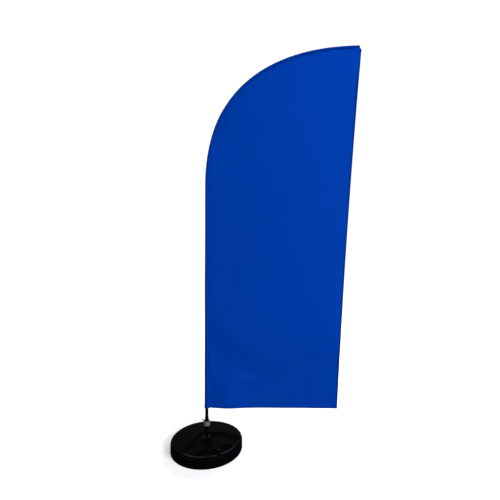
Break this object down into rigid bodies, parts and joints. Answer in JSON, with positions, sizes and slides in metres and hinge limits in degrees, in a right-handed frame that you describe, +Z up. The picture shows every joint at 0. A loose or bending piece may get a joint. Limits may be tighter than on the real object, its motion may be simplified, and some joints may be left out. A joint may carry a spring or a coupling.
{
  "type": "feather flag with pole",
  "caption": "Plain knife-cut feather flag on a bent sectional pole that turns on a ball bearing above a round water-filled tank base.",
  "frame": {"origin": "centre of the tank base's flat underside, on the pole's axis", "axes": "+Z up along the pole, +X towards the flag's free edge, the cloth in the plane Y = 0"},
  "size_m": [1.0745, 0.4, 2.2744],
  "materials": {
    "black_plastic": "satin",
    "water_fill": "gloss",
    "brass": "satin",
    "black_steel": "satin",
    "silver_steel": "satin",
    "bearing_steel": "polished",
    "black_tube": "satin",
    "black_rod": "satin",
    "grey_metal": "satin",
    "rubber": "matte",
    "blue_cloth": "matte",
    "blue_band": "matte"
  },
  "bodies": {
    "base": {"base_tank": "black_plastic", "water_ballast": "water_fill", "threaded_insert": "brass", "post": "black_steel", "bearing_housing": "silver_steel", "bearing_outer_race": "bearing_steel", "retaining_ring": "bearing_steel"},
    "ball_set": {"bearing_cage": "bearing_steel", "bearing_ball_1": "bearing_steel", "bearing_ball_2": "bearing_steel", "bearing_ball_3": "bearing_steel", "bearing_ball_4": "bearing_steel", "bearing_ball_5": "bearing_steel", "bearing_ball_6": "bearing_steel", "bearing_ball_7": "bearing_steel"},
    "rotor": {"bearing_inner_race": "bearing_steel", "spigot": "black_steel", "shaft_circlip": "bearing_steel", "tie_hook": "black_plastic"},
    "pole_and_flag": {"foot_ferrule": "grey_metal", "pole_lower": "black_tube", "ferrule_lower": "grey_metal", "pole_middle": "black_rod", "ferrule_upper": "grey_metal", "pole_tip": "black_rod", "tip_cap": "rubber", "pole_sleeve": "blue_cloth", "sleeve_cuff": "blue_band", "tip_pocket": "blue_band", "flag_panel": "blue_cloth"},
    "filler_seal": {"cap_seal": "rubber"},
    "filler_lid": {"filler_cap": "black_plastic"}
  },
  "joints": [
    {"name": "flag_spin", "type": "hinge", "parent": "base", "child": "rotor", "pos_m": [0, 0, 0.15], "axis": [0, 0, 1], "continuous": true},
    {"name": "cage_spin", "type": "hinge", "parent": "base", "child": "ball_set", "pos_m": [0, 0, 0.15], "axis": [0, 0, 1], "continuous": true},
    {"name": "pole_lift", "type": "slide", "parent": "rotor", "child": "pole_and_flag", "axis": [0, 0, 1], "range_m": [0, 0.115]},
    {"name": "cap_rise", "type": "slide", "parent": "base", "child": "filler_seal", "axis": [0, 0, 1], "range_m": [0, 0.0061]},
    {"name": "cap_turn", "type": "hinge", "parent": "filler_seal", "child": "filler_lid", "pos_m": [0.0817, -0.1258, 0.052], "axis": [0, 0, 1], "range_deg": [0, 720]}
  ],
  "couplings": [
    {"joint": "cage_spin", "follows": "flag_spin", "ratio": 0.3778},
    {"joint": "cap_rise", "follows": "cap_turn", "m_per_rad": 0.00047746}
  ]
}
